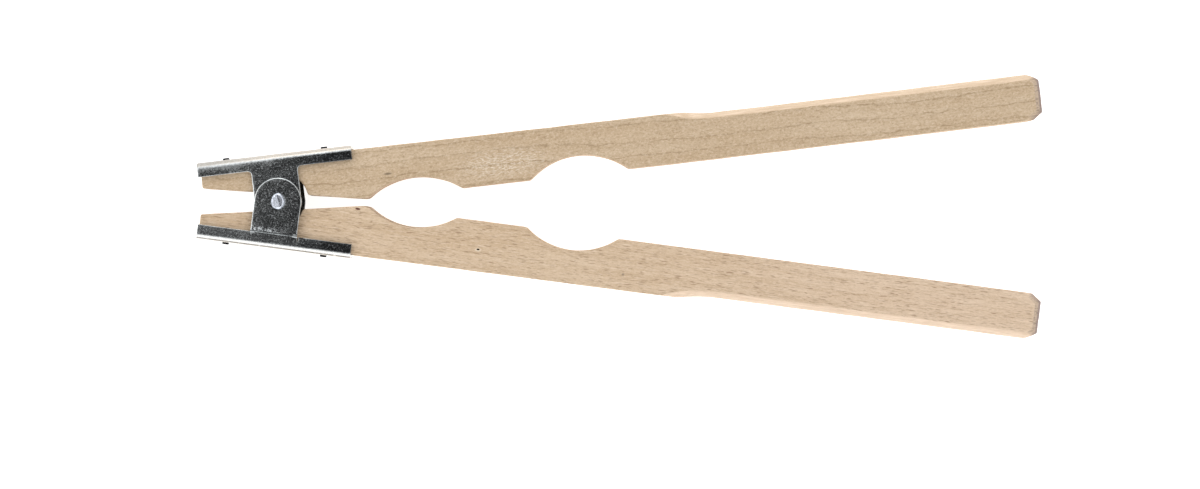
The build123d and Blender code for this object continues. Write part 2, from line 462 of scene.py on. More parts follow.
def make_bracket(name, upper, material):
    """One folded channel with two ears, sheared edges rounded over, rivet and nail holes open."""
    joggled = not upper
    holes = [
        ((0, FLAT_PIVOT), RIVET_HOLE),
        ((0, -FLAT_PIVOT), RIVET_HOLE),
        ((TAIL_NAIL, 0), NAIL_HOLE),
        ((HANDLE_NAIL, 0), NAIL_HOLE),
    ]
    loops = [bracket_outline(joggled)]
    for centre, radius in holes:
        ring = arc_points(centre, radius, 360, 0, 28)[:-1]
        loops.append(ring)

    def roundness(point):
        """The shears round an ear's edge over most, and leave the slit and the holes crisp."""
        slit_middle = (EAR_RADIUS + SLIT[0] / 2, FLAT_EDGE - SLIT[1] / 2)
        near_slit = joggled and math.dist((point[0], abs(point[1])), slit_middle) < 1.3
        if near_slit or any(math.dist(point, c) < r + 0.1 for c, r in holes):
            return SLIT_ROUND
        return SHEAR_ROUND if abs(point[1]) > FLAT_EDGE + 0.2 else EDGE_ROUND

    flat, edges, rims = [], [], []
    for loop in loops:
        normals = outward_normals(loop)
        first = len(flat)
        for p, n in zip(loop, normals):
            inset = roundness(p)
            flat.append(Vector((p[0] - n.x * inset, p[1] - n.y * inset)))
        count = len(loop)
        edges += [(first + i, first + (i + 1) % count) for i in range(count)]
        rims.append((first, count, loop, normals))

    def inside(along, across):
        reach = abs(across)
        margin = 0.5
        if any(math.dist((along, across), c) < r + margin for c, r in holes):
            return False
        if reach < FLAT_EDGE - margin:
            return BRACKET_TAIL + margin < along < BRACKET_HANDLE - margin
        if abs(along) > EAR_RADIUS - margin:
            return False
        return reach < FLAT_PIVOT or math.dist((along, reach), (0, FLAT_PIVOT)) < EAR_RADIUS - margin

    for row in blank_rows(joggled):
        for side in (1, -1) if row else (1,):
            along = BRACKET_TAIL + 0.6
            while along < BRACKET_HANDLE:
                slit_gap = joggled and abs(along - EAR_RADIUS - SLIT[0] / 2) < 0.6
                near_slit = slit_gap and abs(row - FLAT_EDGE + SLIT[1] / 2) < 1.1
                if inside(along, side * row) and not near_slit:
                    flat.append(Vector((along, side * row)))
                along += 0.7
    solved = delaunay_2d_cdt(flat, edges, [], 2, 1e-5)
    cut_points, triangles = solved[0], solved[2]
    if len(cut_points) != len(flat):
        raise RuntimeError("the bracket's blank has crossing edges")

    points, faces = [], []
    half_sheet = SHEET / 2
    seed = Vector((4.4, 0.6, 8.1)) if upper else Vector((9.3, 6.2, 0.4))

    def place(along, across, lift):
        wave = noise.noise(Vector((along * 0.16, across * 0.22, 0)) + seed) * SHEET_UNEVEN
        points.append(folded(along, across, lift + wave, joggled))

    for p in flat:
        place(p.x, p.y, half_sheet)
    for p in flat:
        place(p.x, p.y, -half_sheet)
    under = len(flat)
    for triangle in triangles:
        a, b, c = triangle
        turn = (flat[b] - flat[a]).cross(flat[c] - flat[a])
        if turn < 0:
            a, b, c = c, b, a
        faces.append((a, b, c))
        faces.append((under + c, under + b, under + a))
    for first, count, loop, normals in rims:
        rings = [first]
        for angle in (30, 60, 90):
            rings.append(len(points))
            for p, n in zip(loop, normals):
                r = roundness(p)
                inset = r * (1 - math.sin(math.radians(angle)))
                drop = r * (1 - math.cos(math.radians(angle)))
                place(p[0] - n.x * inset, p[1] - n.y * inset, half_sheet - drop)
        rings.append(len(points))
        for p in loop:
            place(p[0], p[1], -half_sheet + SLIT_ROUND)
        rings.append(under + first)
        for upper_ring, lower_ring in zip(rings, rings[1:]):
            faces += [tuple(reversed(f)) for f in ring_faces(upper_ring, lower_ring, count)]
    return make_object(name, points, faces, arm_matrix(upper), material, 34)


# ---------------------------------------------------------------- rivet, sleeve, nails, spring


def struck(point, facets, seat):
    """A head's top pushed down to the lowest of several tilted hammer facets."""
    if point.z <= seat:
        return point
    height = point.z
    for slope_x, slope_y, level in facets:
        height = min(height, level + slope_x * point.x + slope_y * point.y)
    return Vector((point.x, point.y, max(height, seat)))


def make_rivet(name, material):
    """Pivot rivet: flat rear head, shank, and a front head peened by a few uneven blows."""
    seat = FRONT - FRONT_HEAD[1]
    radius, height = FRONT_HEAD
    facets = [
        (0.21, 0.05, FRONT - 0.08),
        (-0.20, -0.09, FRONT + 0.08),
        (-0.10, 0.24, FRONT + 0.36),
    ]

    def peened(point):
        if point.z <= seat - 0.01:
            return point
        angle = math.atan2(point.y, point.x)
        spread = 1 + 0.03 * math.cos(3 * angle + 1.4) + 0.02 * math.cos(5 * angle + 0.4)
        across = point.x * spread * FRONT_HEAD_NARROWING
        upward = point.y * spread * FRONT_HEAD_STRETCH
        return struck(Vector((across, upward, point.z)), facets, seat + 0.05)

    rear_radius, rear_height = REAR_HEAD
    corner = REAR_HEAD_CORNER
    profile = [(0.02, BACK), (rear_radius - corner, BACK)]
    profile += [
        (
            rear_radius - corner + corner * math.sin(math.radians(a)),
            BACK + corner - corner * math.cos(math.radians(a)),
        )
        for a in (20, 40, 60, 80)
    ]
    profile += [
        (rear_radius, BACK + rear_height),
        (RIVET_RADIUS, BACK + rear_height),
        (RIVET_RADIUS, seat),
        (radius, seat),
        (radius + 0.03, seat + 0.2),
        (radius, seat + 0.4),
        (radius * 0.96, seat + 0.56),
        (radius * 0.88, seat + 0.72),
    ]
    profile += [(radius * r, seat + height) for r in (0.78, 0.68, 0.58, 0.48, 0.38, 0.28, 0.18, 0.1)]
    profile += [(0.02, seat + height)]
    return lathe(name, profile, 64, Matrix.Scale(MM, 4), material, peened, 24)


def make_sleeve(name, material):
    """Spacer tube with eased ends, closed on itself from the bore to the outside."""
    half = FLANGE_INSIDE - 0.05
    ease = 0.15
    ring = [
        (SLEEVE_BORE, -half + ease),
        (SLEEVE_BORE + ease, -half),
        (SLEEVE_RADIUS - ease, -half),
        (SLEEVE_RADIUS, -half + ease),
        (SLEEVE_RADIUS, half - ease),
        (SLEEVE_RADIUS - ease, half),
        (SLEEVE_BORE + ease, half),
        (SLEEVE_BORE, half - ease),
    ]
    sides = 56
    points, faces = [], []
    for radius, height in ring:
        for i in range(sides):
            angle = 2 * math.pi * i / sides
            points.append((radius * math.cos(angle), radius * math.sin(angle), height))
    for row in range(len(ring)):
        faces += ring_faces(row * sides, (row + 1) % len(ring) * sides, sides)
    centre = Matrix.Translation((0, 0, MIDDLE * MM)) @ Matrix.Scale(MM, 4)
    return make_object(name, points, faces, centre, material)


def make_nail(name, upper, along, material, random_facets):
    """Small nail: a hammered head on the web, a round shank and a point in the wood."""
    radius, height = NAIL_HEAD
    facets = [
        (
            random_facets.uniform(-0.12, 0.12),
            random_facets.uniform(-0.12, 0.12),
            height + random_facets.uniform(0.03, 0.10),
        )
        for _ in range(4)
    ]
    profile = [
        (0.02, WEB_OUTSIDE - NAIL_LENGTH),
        (NAIL_RADIUS, WEB_OUTSIDE - NAIL_LENGTH + NAIL_POINT),
        (NAIL_RADIUS, WEB_OUTSIDE),
        (radius - 0.05, WEB_OUTSIDE + 0.02),
        (radius, WEB_OUTSIDE + 0.1),
        (radius, WEB_OUTSIDE + height * 0.72),
        (radius * 0.95, WEB_OUTSIDE + height * 0.90),
        (radius * 0.82, WEB_OUTSIDE + height * 0.98),
        (radius * 0.5, WEB_OUTSIDE + height),
        (radius * 0.25, WEB_OUTSIDE + height),
        (0.02, WEB_OUTSIDE + height),
    ]

    def hammered(point):
        local = Vector((point.x, point.y, point.z - WEB_OUTSIDE))
        shaped = struck(local, facets, 0.15)
        return Vector((shaped.x, shaped.y, shaped.z + WEB_OUTSIDE))

    stand = Matrix.Translation((along, 0, 0)) @ Matrix.Rotation(-math.pi / 2, 4, "X")
    return lathe(name, profile, 32, arm_matrix(upper) @ stand, material, hammered)


def make_spring(name, material):
    """Torsion spring: a left-handed coil with a straight leg into each arm, swept from round wire."""
    turn = math.radians(360 * COIL_TURNS - UPPER_TILT - LOWER_TILT)
    start = math.radians(180 - LOWER_TILT)
    steps = COIL_TURNS * 48
    line = []
    for i in range(steps + 1):
        angle = start - turn * i / steps
        height = MIDDLE - COIL_HEIGHT / 2 + COIL_HEIGHT * i / steps
        line.append(Vector((COIL_RADIUS * math.cos(angle), COIL_RADIUS * math.sin(angle), height)))
    slope = COIL_HEIGHT / (turn * COIL_RADIUS)

    def leg(angle, end):
        heading = Vector((math.sin(angle), -math.cos(angle), slope)).normalized()
        return [heading * (LEG_REACH * i / 12 * end) for i in range(1, 13)]

    low, high = line[0], line[-1]
    before = [low + step for step in reversed(leg(start, -1))]
    after = [high + step for step in leg(start - turn, 1)]
    line = before + line + after

    sides = 14
    points, faces = [], []
    side = Vector((0, 0, 1))
    for i, centre in enumerate(line):
        ahead = line[min(i + 1, len(line) - 1)] - line[max(i - 1, 0)]
        ahead.normalize()
        side = (side - ahead * side.dot(ahead)).normalized()
        other = ahead.cross(side)
        radius = WIRE_RADIUS * (0.8 if i in (0, len(line) - 1) else 1)
        for k in range(sides):
            angle = 2 * math.pi * k / sides
            points.append(centre + (side * math.cos(angle) + other * math.sin(angle)) * radius)
    for row in range(len(line) - 1):
        faces += ring_faces(row * sides, (row + 1) * sides, sides)
    faces.append(tuple(reversed(range(sides))))
    top = (len(line) - 1) * sides
    faces.append(tuple(range(top, top + sides)))
    return make_object(name, points, faces, Matrix.Scale(MM, 4), material, 40)


# ---------------------------------------------------------------- materials


class Nodes:
    """A material's node tree, with short calls for the nodes that these materials use."""

    def __init__(self, name):
        self.material = bpy.data.materials.new(name)
        self.material.use_nodes = True
        self.tree = self.material.node_tree
        self.shader = self.tree.nodes["Principled BSDF"]

    def link(self, source, target):
        self.tree.links.new(source, target)

    def add(self, kind, **settings):
        node = self.tree.nodes.new(kind)
        for key, value in settings.items():
            setattr(node, key, value)
        return node

    def feed(self, node, socket, value):
        """Puts a number, a colour or another node's output on an input."""
        if isinstance(value, bpy.types.NodeSocket):
            self.link(value, node.inputs[socket])
        else:
            node.inputs[socket].default_value = value

    def math(self, operation, a, b=0.0, clamp=False):
        node = self.add("ShaderNodeMath", operation=operation, use_clamp=clamp)
        self.feed(node, 0, a)
        self.feed(node, 1, b)
        return node.outputs[0]

    def times(self, a, b):
        return self.math("MULTIPLY", a, b)

    def mix(self, share, a, b):
        node = self.add("ShaderNodeMix", data_type="RGBA", blend_type="MIX")
        self.feed(node, 0, share)
        self.feed(node, 6, a)
        self.feed(node, 7, b)
        return node.outputs[2]

    def tint(self, colour, mask, strength, tone):
        """Moves a colour towards a tone, by the strength given where the mask is 1."""
        return self.mix(self.times(mask, strength), colour, tone)

    def mapped(self, source, scale=(1, 1, 1), turn=(0, 0, 0), shift=(0, 0, 0)):
        node = self.add("ShaderNodeMapping")
        self.link(source, node.inputs[0])
        node.inputs["Scale"].default_value = scale
        node.inputs["Rotation"].default_value = turn
        node.inputs["Location"].default_value = shift
        return node.outputs[0]

    def noise(self, place, scale=1.0, detail=2.0, rough=0.5, warp=0.0):
        node = self.add("ShaderNodeTexNoise")
        self.link(place, node.inputs["Vector"])
        node.inputs["Scale"].default_value = scale
        node.inputs["Detail"].default_value = detail
        node.inputs["Roughness"].default_value = rough
        node.inputs["Distortion"].default_value = warp
        return node.outputs[0]

    def ramp(self, value, low, high, smooth=True):
        """0 below low and 1 above high, or the other way round where low is above high."""
        node = self.add("ShaderNodeMapRange", clamp=True)
        node.interpolation_type = "SMOOTHSTEP" if smooth else "LINEAR"
        self.link(value, node.inputs["Value"])
        flipped = low > high
        node.inputs["From Min"].default_value = min(low, high)
        node.inputs["From Max"].default_value = max(low, high)
        node.inputs["To Min"].default_value = 1.0 if flipped else 0.0
        node.inputs["To Max"].default_value = 0.0 if flipped else 1.0
        return node.outputs[0]

    def bump(self, height, distance, strength=1.0, normal=None):
        node = self.add("ShaderNodeBump")
        self.link(height, node.inputs["Height"])
        node.inputs["Distance"].default_value = distance
        node.inputs["Strength"].default_value = strength
        if normal:
            self.link(normal, node.inputs["Normal"])
        return node.outputs[0]


def linear(red, green, blue):
    """An sRGB colour, 0 to 255, as Blender's linear values."""
    values = []
    for value in (red, green, blue):
        share = value / 255
        values.append(share / 12.92 if share <= 0.04045 else ((share + 0.055) / 1.055) ** 2.4)
    return (*values, 1.0)


def arm_place(nodes, upper):
    """Object coordinates turned into the arm's own frame, in millimetres."""
    coordinates = nodes.add("ShaderNodeTexCoord").outputs["Object"]
    centred = nodes.mapped(coordinates, (1000, 1000, 1000), shift=(0, 0, -MIDDLE))
    angle = math.radians(-UPPER_TILT if upper else LOWER_TILT)
    return nodes.mapped(centred, turn=(0, 0, angle))


def spot(nodes, place, centre, size, soft=0.5):
    """1 inside an ellipsoid about a point of the arm, 0 outside it."""
    shifted = nodes.mapped(
        place,
        tuple(1 / s for s in size),
        shift=tuple(-c / s for c, s in zip(centre, size)),
    )
    length = nodes.add("ShaderNodeVectorMath", operation="LENGTH")
    nodes.link(shifted, length.inputs[0])
    return nodes.ramp(length.outputs["Value"], 1.0, 1.0 - soft)


def wood_material(name, upper):
    """Bare pale hardwood. The upper arm shows thin growth lines on a mottled ground, and the lower
    arm straight grain with many short dark flecks."""
    nodes = Nodes(name)
    place = arm_place(nodes, upper)
    pith = (0, 46, -30) if upper else (0, 75, 62)
    drift = 0.020 if upper else 0.006
    ring_gap = 3.6 if upper else 2.3

    # Growth rings round a pith line outside the stick, which drifts along it
    wander = nodes.noise(nodes.mapped(place, (0.020, 0.10, 0.10)), detail=3.0)
    waver = nodes.noise(nodes.mapped(place, (0.22, 0.5, 0.5)), detail=2.0)
    separate = nodes.add("ShaderNodeSeparateXYZ")
    nodes.link(nodes.mapped(place, shift=pith), separate.inputs[0])
    radius = nodes.math("POWER", separate.outputs[1], 2.0)
    radius = nodes.math("ADD", radius, nodes.math("POWER", separate.outputs[2], 2.0))
    radius = nodes.math("SQRT", radius)
    radius = nodes.math("ADD", radius, nodes.times(separate.outputs[0], drift))
    radius = nodes.math("ADD", radius, nodes.times(wander, 4.5))
    radius = nodes.math("ADD", radius, nodes.times(waver, 1.5))
    phase = nodes.math("FRACT", nodes.math("DIVIDE", radius, ring_gap))
    line = nodes.times(nodes.ramp(phase, 0.84, 0.94), nodes.ramp(phase, 1.0, 0.96))
    broken = nodes.noise(nodes.mapped(place, (0.3, 0.8, 0.8), shift=(2, 9, 4)), detail=3.0)
    line = nodes.times(line, nodes.ramp(broken, 0.32, 0.56))
    late = nodes.ramp(phase, 0.25, 0.9)

    # Fibres, flecks and mottling
    thin = 2.6 if upper else 3.4
    fibre = nodes.noise(nodes.mapped(place, (0.12, thin, thin)), detail=4.0, rough=0.65)
    fine = nodes.noise(nodes.mapped(place, (0.36, 4.6, 4.6)), detail=2.0, rough=0.6)
    small = 2.6 if upper else 3.8
    mottle = nodes.noise(nodes.mapped(place, (1.7, small, small)), detail=4.0, rough=0.75)
    broad = nodes.noise(nodes.mapped(place, (0.022, 0.16, 0.16)), detail=2.0)
    fleck = flecks(nodes, place)

    shade = 0.985 if upper else 1.035
    pink = 0 if upper else 2

    def tone(red, green, blue):
        return linear(red * shade, green * shade, blue * shade + pink)

    pale = tone(205, 183, 155)
    middle = tone(196, 172, 142)
    deep = tone(176, 150, 117)
    light = tone(222, 203, 180)
    dark = tone(152, 126, 96)
    colour = nodes.mix(nodes.ramp(broad, 0.30, 0.70), middle, pale)
    if not upper:
        # The handle was cut from paler wood than the notches
        faded = nodes.ramp(separate.outputs[0], 60, 190)
        colour = nodes.tint(colour, faded, 0.5, linear(226, 203, 182))
    strength = 0.34 if upper else 0.50
    colour = nodes.tint(colour, nodes.ramp(fibre, 0.35, 0.75), strength, deep)
    strength = 0.16 if upper else 0.10
    colour = nodes.tint(colour, late, strength, deep)
    strength = 0.50 if upper else 0.14
    colour = nodes.tint(colour, line, strength, linear(140, 117, 84))
    strength = 0.62 if upper else 0.34
    speckle = nodes.times(nodes.ramp(mottle, 0.50, 0.66), strength)
    colour = nodes.mix(speckle, colour, light)
    speckle = nodes.times(nodes.ramp(mottle, 0.49, 0.33), strength)
    colour = nodes.mix(speckle, colour, dark)
    strength = 0.10 if upper else 0.58
    colour = nodes.tint(colour, fleck, strength, linear(134, 103, 76))
    strength = 0.14 if upper else 0.55
    streak = nodes.times(nodes.ramp(fine, 0.54, 0.72), strength)
    colour = nodes.mix(streak, colour, light)

    colour = wood_marks(nodes, place, colour, upper)
    colour = wood_sides(nodes, place, colour, upper)
    nodes.link(colour, nodes.shader.inputs["Base Color"])

    rough = nodes.add("ShaderNodeMapRange")
    nodes.link(fibre, rough.inputs["Value"])
    rough.inputs["To Min"].default_value = 0.52
    rough.inputs["To Max"].default_value = 0.74
    nodes.link(rough.outputs[0], nodes.shader.inputs["Roughness"])
    grain = nodes.math("ADD", nodes.times(fibre, 0.6), nodes.times(fine, 0.5))
    grain = nodes.math("ADD", grain, nodes.times(mottle, 0.5))
    grain = nodes.math("SUBTRACT", grain, nodes.times(fleck, 0.5))
    nodes.link(nodes.bump(grain, 0.0001, 0.7), nodes.shader.inputs["Normal"])
    nodes.shader.inputs["Specular IOR Level"].default_value = 0.22
    return nodes.material


def flecks(nodes, place):
    """Short dark rays along the grain: stretched cells, of which only some are filled."""
    wavy = nodes.noise(nodes.mapped(place, (0.15, 0.6, 0.6)), detail=2.0)
    bent = nodes.add("ShaderNodeVectorMath", operation="MULTIPLY_ADD")
    nodes.link(wavy, bent.inputs[0])
    bent.inputs[1].default_value = (0.0, 1.6, 1.6)
    nodes.link(place, bent.inputs[2])
    total = None
    for scale, shift in (((0.22, 2.7, 1.2), (0, 0, 0)), ((0.34, 3.4, 1.5), (7, 3, 5))):
        cells = nodes.add("ShaderNodeTexVoronoi")
        nodes.link(nodes.mapped(bent.outputs[0], scale, shift=shift), cells.inputs["Vector"])
        cells.inputs["Scale"].default_value = 1.0
        chance = nodes.add("ShaderNodeSeparateXYZ")
        nodes.link(cells.outputs["Color"], chance.inputs[0])
        shape = nodes.ramp(cells.outputs["Distance"], 0.34, 0.14)
        shape = nodes.times(shape, nodes.ramp(chance.outputs[0], 0.05, 0.45))
        total = shape if total is None else nodes.math("MAXIMUM", total, shape)
    return total


def wood_marks(nodes, place, colour, upper):
    """The few natural marks on each arm's front face, and on the lower arm a painted shadow line
    along its inner edge by the kink and the first notch.
    """
    front = HALF_WOOD
    if upper:
        # A patch of curly figure: pale strokes at two angles to the grain
        area = spot(nodes, place, (61, 3.2, front), (17, 5.6, 6), 0.8)
        for angle in (62, -58):
            curl = nodes.mapped(place, (1.0, 4.0, 0.5), turn=(0, 0, math.radians(angle)))
            curl = nodes.ramp(nodes.noise(curl, 1.0, 2.0, 0.6), 0.52, 0.64)
            patch = nodes.times(nodes.times(curl, area), 0.60)
            colour = nodes.mix(patch, colour, linear(232, 220, 203))
        smudge = spot(nodes, place, (29.9, 3.9, front), (1.6, 0.5, 1.2), 0.8)
        return nodes.tint(colour, smudge, 0.7, linear(96, 84, 66))
    knot = spot(nodes, place, (54.5, -5.8, front), (0.50, 0.27, 0.6), 0.3)
    halo = spot(nodes, place, (54.5, -5.9, front), (1.1, 0.6, 0.9), 0.6)
    stain = spot(nodes, place, (21.3, 0.75, front), (0.78, 0.30, 0.8), 0.3)
    speck = spot(nodes, place, (93.7, -7.4, front), (0.5, 0.4, 0.5), 0.6)
    # Painted shadow line along the lower arm's inner edge by the kink, and along the first notch's
    # rim
    painted_shadow_line = spot(nodes, place, (26.0, 1.75, front), (5.0, 0.25, 0.5), 0.5)
    centre, crest, radius = LOWER_ARM.cuts[0]
    rim = nodes.mapped(place, (1, 1, 0), shift=(-centre, crest - radius, 0))
    length = nodes.add("ShaderNodeVectorMath", operation="LENGTH")
    nodes.link(rim, length.inputs[0])
    rim = nodes.ramp(length.outputs["Value"], radius + 0.34, radius + 0.12)
    where = nodes.add("ShaderNodeSeparateXYZ")
    nodes.link(place, where.inputs[0])
    along = where.outputs[0]
    stretch = nodes.times(nodes.ramp(along, 20, 24), nodes.ramp(along, 44, 33))
    painted_shadow_line = nodes.math("MAXIMUM", painted_shadow_line, nodes.times(rim, stretch))
    colour = nodes.tint(colour, painted_shadow_line, 0.6, linear(112, 84, 60))
    colour = nodes.tint(colour, halo, 0.6, linear(238, 224, 202))
    colour = nodes.mix(knot, colour, linear(44, 30, 24))
    colour = nodes.tint(colour, stain, 0.95, linear(84, 34, 34))
    return nodes.tint(colour, speck, 0.6, linear(120, 108, 98))


def wood_sides(nodes, place, colour, upper):
    """Sides are a little paler and warmer than the faces, with painted highlight streaks. The
    handle's end shows grey end grain and its pores, and painted shade on the end below the top of its
    bevel."""
    facing = nodes.add("ShaderNodeTexCoord").outputs["Normal"]
    angle = math.radians(-UPPER_TILT if upper else LOWER_TILT)
    normal = nodes.add("ShaderNodeSeparateXYZ")
    nodes.link(nodes.mapped(facing, turn=(0, 0, angle)), normal.inputs[0])
    side = nodes.ramp(nodes.math("ABSOLUTE", normal.outputs[2]), 0.95, 0.3)
    pale = linear(201, 176, 148) if upper else linear(207, 182, 158)
    colour = nodes.tint(colour, side, 0.6, pale)
    # Painted highlights: pale streaks on the sides
    gloss = nodes.ramp(nodes.noise(nodes.mapped(place, (0.14, 1.6, 1.6)), detail=3.0), 0.44, 0.64)
    gloss = nodes.times(nodes.times(gloss, side), 0.42)
    colour = nodes.mix(gloss, colour, linear(238, 217, 196))
    where = nodes.add("ShaderNodeSeparateXYZ")
    nodes.link(place, where.inputs[0])
    at_end = nodes.ramp(where.outputs[0], HANDLE_END - CORNER_ALONG - 1.5, HANDLE_END - CORNER_ALONG)
    end = nodes.times(nodes.ramp(normal.outputs[0], 0.12, 0.6), at_end)
    colour = nodes.tint(colour, end, 0.70, linear(182, 162, 143))
    pores = nodes.ramp(nodes.noise(nodes.mapped(place, (0.8, 3.0, 0.8)), detail=2.0), 0.50, 0.60)
    pores = nodes.times(nodes.times(pores, end), 0.6)
    colour = nodes.mix(pores, colour, linear(128, 112, 100))
    # Painted shade on the end face and the lower half of its bevel
    painted_end_shade = nodes.ramp(nodes.math("ABSOLUTE", where.outputs[2]), 6.75, 6.25)
    painted_end_shade = nodes.times(painted_end_shade, end)
    return nodes.tint(colour, painted_end_shade, 0.7, linear(132, 116, 116))


def metal_skin(nodes, place, tone, rough, mottle, scale):
    """Metal with an uneven skin: fine speckle, dust, patches of polish and light scratches. It
    returns the colour and the roughness, for whatever else a metal adds to them."""
    broad = nodes.noise(place, 0.30 * scale, 3.0, 0.6)
    fine = nodes.noise(place, 2.4 * scale, 3.0, 0.75)
    scratch = nodes.noise(nodes.mapped(place, (7, 0.35, 0.35), turn=(0, 0, 0.9)), 1.0, 2.0, 0.6)
    dark = tuple(c * (1 - mottle) for c in tone[:3]) + (1.0,)
    light = tuple(min(1, c * (1 + mottle)) for c in tone[:3]) + (1.0,)
    colour = nodes.mix(nodes.ramp(fine, 0.35, 0.62), dark, tone)
    colour = nodes.tint(colour, nodes.ramp(broad, 0.4, 0.7), 0.5, light)
    uneven = nodes.times(nodes.math("SUBTRACT", fine, 0.5), 0.28)
    wear = nodes.times(nodes.math("SUBTRACT", broad, 0.5), 0.16)
    total = nodes.math("ADD", nodes.math("ADD", uneven, wear), rough, clamp=True)
    skin = nodes.math("ADD", nodes.times(fine, 0.9), nodes.times(scratch, 0.4))
    nodes.link(nodes.bump(skin, 0.00005, 0.6), nodes.shader.inputs["Normal"])
    return colour, total


def metal_material(name, tone, rough, mottle, scale, metallic=1.0, gloss=0.5):
    nodes = Nodes(name)
    coordinates = nodes.add("ShaderNodeTexCoord").outputs["Object"]
    place = nodes.mapped(coordinates, (1000, 1000, 1000))
    colour, total = metal_skin(nodes, place, tone, rough, mottle, scale)
    nodes.link(colour, nodes.shader.inputs["Base Color"])
    nodes.link(total, nodes.shader.inputs["Roughness"])
    nodes.shader.inputs["Metallic"].default_value = metallic
    nodes.shader.inputs["Specular IOR Level"].default_value = gloss
    return nodes.material


def plated_material(name, upper):
    """Plated sheet: dark polished flats with a fine grey dust, and a painted reflection tint on the
    bend.
    Both have painted shade on the flats towards the handle and painted shadow on the rear ears, and
    the upper one's bend is darker near its tail."""
    nodes = Nodes(name)
    place = arm_place(nodes, upper)
    colour, total = metal_skin(nodes, place, linear(206, 210, 211), 0.20, 0.45, 1.0)
    where = nodes.add("ShaderNodeSeparateXYZ")
    nodes.link(place, where.inputs[0])
    along = where.outputs[0]
    out = nodes.times(where.outputs[1], 1.0 if upper else -1.0)
    # Painted reflection tint on the bend: cream on the upper bracket, near white on the lower
    bend = nodes.ramp(out, 11.3, 11.9)
    painted_bend_reflection_tone = linear(182, 174, 163) if upper else linear(214, 212, 208)
    colour = nodes.mix(bend, colour, painted_bend_reflection_tone)
    if upper:
        # The upper bend is darker towards its tail
        bend_darker_at_tail = nodes.times(bend, nodes.ramp(along, 0, -18))
        colour = nodes.tint(colour, bend_darker_at_tail, 0.5, linear(128, 124, 118))
    # Painted shade: the flats darker towards the handle
    painted_shade_to_handle = nodes.times(nodes.ramp(along, 0, 16), nodes.ramp(out, 11.4, 11.0))
    colour = nodes.tint(colour, painted_shade_to_handle, 0.85, linear(84, 86, 88))
    # Painted shadow: the rear ears darkened to near black
    painted_rear_ear_shadow = nodes.ramp(where.outputs[2], -6.0, -7.4)
    painted_rear_ear_shadow = nodes.times(painted_rear_ear_shadow, nodes.ramp(out, 8.0, 7.0))
    colour = nodes.tint(colour, painted_rear_ear_shadow, 0.85, linear(40, 40, 42))

    # A grey dust that scatters light, thicker here and there
    grain = nodes.noise(place, 2.1, 4.0, 0.75)
    bare = nodes.times(nodes.ramp(grain, 0.52, 0.62), 0.27)
    pale = linear(226, 231, 235)
    tail = nodes.ramp(along, 12, -20)
    if upper:
        dull = nodes.times(tail, nodes.ramp(out, 9.2, 11.2))
        bare = nodes.math("ADD", bare, nodes.times(dull, 0.08))
        total = nodes.math("ADD", total, nodes.times(dull, 0.18))
    else:
        dull = nodes.times(tail, nodes.ramp(out, 8.7, 9.2))
        bare = nodes.math("ADD", bare, nodes.times(dull, 0.07))
        # Scuffs where the ear was raised, painted shade on the joggled step beside them, and along
        # the bend's outer edge a painted dark reflection line with a paler painted reflection beyond
        # it
        pits = nodes.noise(nodes.mapped(place, shift=(3, 5, 1)), 2.6, 2.0, 0.6)
        near = nodes.times(nodes.ramp(out, 6.6, 8.0), nodes.ramp(out, 8.5, 8.4))
        near = nodes.times(near, nodes.ramp(along, 5.5, -4.0))
        scuff = nodes.times(near, nodes.ramp(pits, 0.49, 0.55))
        bare = nodes.math("MAXIMUM", bare, nodes.times(scuff, 0.8))
        # Painted shade on the joggle's step
        step = nodes.times(nodes.ramp(out, 8.38, 8.46), nodes.ramp(out, 8.76, 8.70))
        step = nodes.times(step, nodes.ramp(along, 6.6, 6.2))
        colour = nodes.mix(step, colour, linear(60, 62, 62))
        # Painted reflection: a dark line near the bend's outer edge, paler beyond it
        broken = nodes.ramp(nodes.noise(place, 0.5, 3.0), 0.30, 0.42)
        line = nodes.times(nodes.ramp(out, 12.16, 12.26), nodes.ramp(out, 12.46, 12.36))
        line = nodes.times(nodes.times(line, broken), 0.9)
        colour = nodes.mix(nodes.ramp(out, 12.26, 12.36), colour, linear(176, 168, 156))
        colour = nodes.mix(line, colour, linear(60, 50, 40))
    colour = nodes.mix(bare, colour, pale)
    nodes.link(colour, nodes.shader.inputs["Base Color"])
    nodes.link(nodes.math("SUBTRACT", 1.0, bare, clamp=True), nodes.shader.inputs["Metallic"])
    nodes.link(total, nodes.shader.inputs["Roughness"])
    return nodes.material


def floor_material():
    """White table that glows a little, as a sheet lit from below does."""
    nodes = Nodes("white_table")
    coordinates = nodes.add("ShaderNodeTexCoord").outputs["Object"]
    tone = nodes.noise(coordinates, 6.0, 3.0)
    colour = nodes.mix(nodes.ramp(tone, 0.3, 0.7), linear(212, 212, 212), linear(218, 218, 218))
    nodes.link(colour, nodes.shader.inputs["Base Color"])
    nodes.shader.inputs["Roughness"].default_value = 0.9
    nodes.shader.inputs["Emission Color"].default_value = (1, 1, 1, 1)
    nodes.shader.inputs["Emission Strength"].default_value = 0.84
    return nodes.material


# ---------------------------------------------------------------- the pieces on their bodies

hardwood = {
    "upper": wood_material("upper_hardwood", True),
    "lower": wood_material("lower_hardwood", False),
}
plated = {
    "upper": plated_material("upper_plated_sheet", True),
    "lower": plated_material("lower_plated_sheet", False),
}
rivet_metal = metal_material("rivet_metal", linear(216, 221, 232), 0.24, 0.16, 0.8)
sleeve_metal = metal_material("sleeve_steel", linear(150, 150, 150), 0.35, 0.15, 1.0)
wire_metal = metal_material("spring_wire", linear(120, 120, 124), 0.32, 0.20, 1.2)
nail_metal = metal_material("nail_steel", linear(13, 13, 15), 0.75, 0.25, 1.4, 0.0, 0.15)


def settle(piece, body, node):
    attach(piece, body)
    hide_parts(node)


